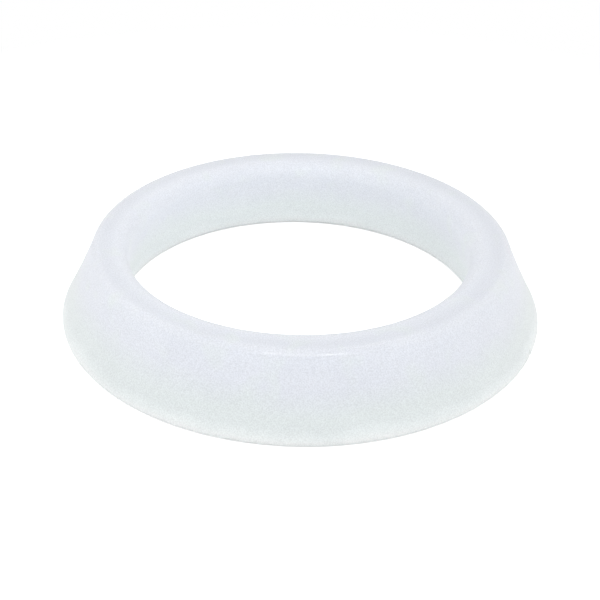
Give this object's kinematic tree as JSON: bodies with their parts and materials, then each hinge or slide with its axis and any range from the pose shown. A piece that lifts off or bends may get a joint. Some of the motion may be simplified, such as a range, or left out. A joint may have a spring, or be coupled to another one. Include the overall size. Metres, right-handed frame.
{
  "type": "slip joint washer",
  "caption": "Bevelled ring of soft white plastic that seals a slip joint: the nut presses its flat base and wedges its tapered nose between the pipe and the socket.",
  "frame": {"origin": "centre of the flat base, on the bore's axis", "axes": "+Z along the bore's axis, from the flat base to the nose; +X and +Y are any two directions across the ring"},
  "size_m": [0.0452, 0.0452, 0.0073],
  "materials": {
    "polyethylene": "satin"
  },
  "bodies": {
    "root": {"washer": "polyethylene"}
  },
  "joints": []
}
